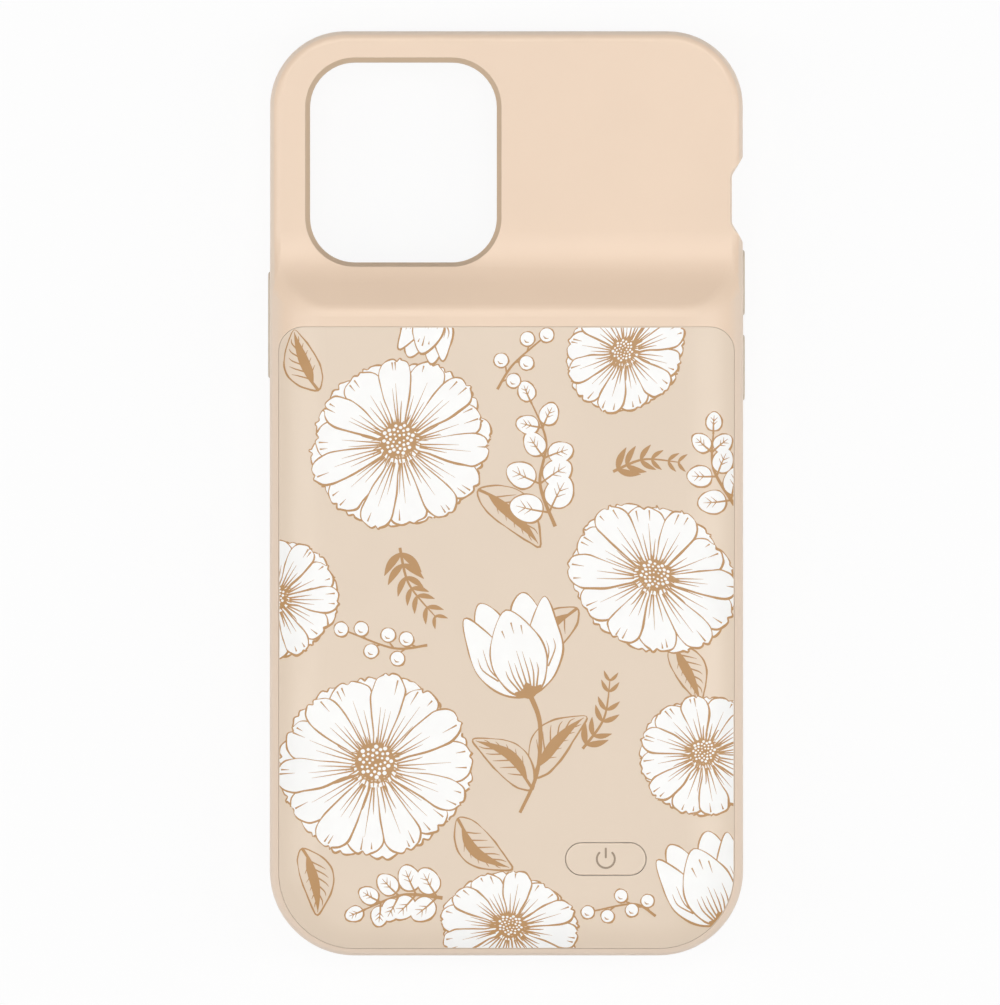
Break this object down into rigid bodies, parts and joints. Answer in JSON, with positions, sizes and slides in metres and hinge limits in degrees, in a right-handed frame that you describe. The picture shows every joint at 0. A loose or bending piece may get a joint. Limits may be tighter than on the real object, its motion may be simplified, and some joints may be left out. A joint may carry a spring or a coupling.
{
  "type": "battery charging case",
  "caption": "Slim protective handset case with a crowned battery hump, camera opening, power button, side keys, charging socket and an inner plug.",
  "frame": {"origin": "middle of the case in the plane of its open rim", "axes": "+Z out of the printed back, +Y towards the camera end, +X towards the volume keys"},
  "size_m": [0.0788, 0.1524, 0.016],
  "materials": {
    "shell": "satin, soft to the touch",
    "cover": "satin, printed",
    "button": "satin",
    "keys": "satin",
    "plate": "matte",
    "pouch": "satin foil",
    "tape": "matte",
    "board": "satin solder mask",
    "nickel": "satin",
    "steel": "satin",
    "gold": "polished",
    "black_plastic": "matte",
    "lamp": "gloss",
    "clear": "gloss, frosted",
    "flex": "gloss",
    "red_wire": "satin",
    "black_wire": "satin"
  },
  "bodies": {
    "case": {"case_frame": "shell", "battery_cover": "cover", "inner_plate": "plate", "battery_cell": "pouch", "cell_tape": "tape", "protection_board": "board", "main_board": "board", "cell_tabs": "nickel", "board_screws": "steel", "charging_socket": "steel", "plug_tongue": "steel", "plug_contacts": "gold", "plug_base": "black_plastic", "socket_tongue": "black_plastic", "board_chips": "black_plastic", "power_inductor": "black_plastic", "switch_body": "black_plastic", "status_lamps": "lamp", "light_pins": "clear", "plug_flex": "flex", "red_lead": "red_wire", "black_lead": "black_wire"},
    "power_button": {"power_button": "button", "switch_plunger": "button"},
    "volume_up_key": {"volume_up_key": "keys"},
    "volume_down_key": {"volume_down_key": "keys"},
    "side_key": {"side_key": "keys"}
  },
  "joints": [
    {"name": "power_press", "type": "slide", "parent": "case", "child": "power_button", "axis": [0, 0, -1], "range_m": [0, 0.00035], "stiffness_N_per_m": 3000},
    {"name": "volume_up_press", "type": "slide", "parent": "case", "child": "volume_up_key", "axis": [-1, 0, 0], "range_m": [0, 0.0004], "stiffness_N_per_m": 3000},
    {"name": "volume_down_press", "type": "slide", "parent": "case", "child": "volume_down_key", "axis": [-1, 0, 0], "range_m": [0, 0.0004], "stiffness_N_per_m": 3000},
    {"name": "side_key_press", "type": "slide", "parent": "case", "child": "side_key", "axis": [1, 0, 0], "range_m": [0, 0.0004], "stiffness_N_per_m": 3000}
  ]
}
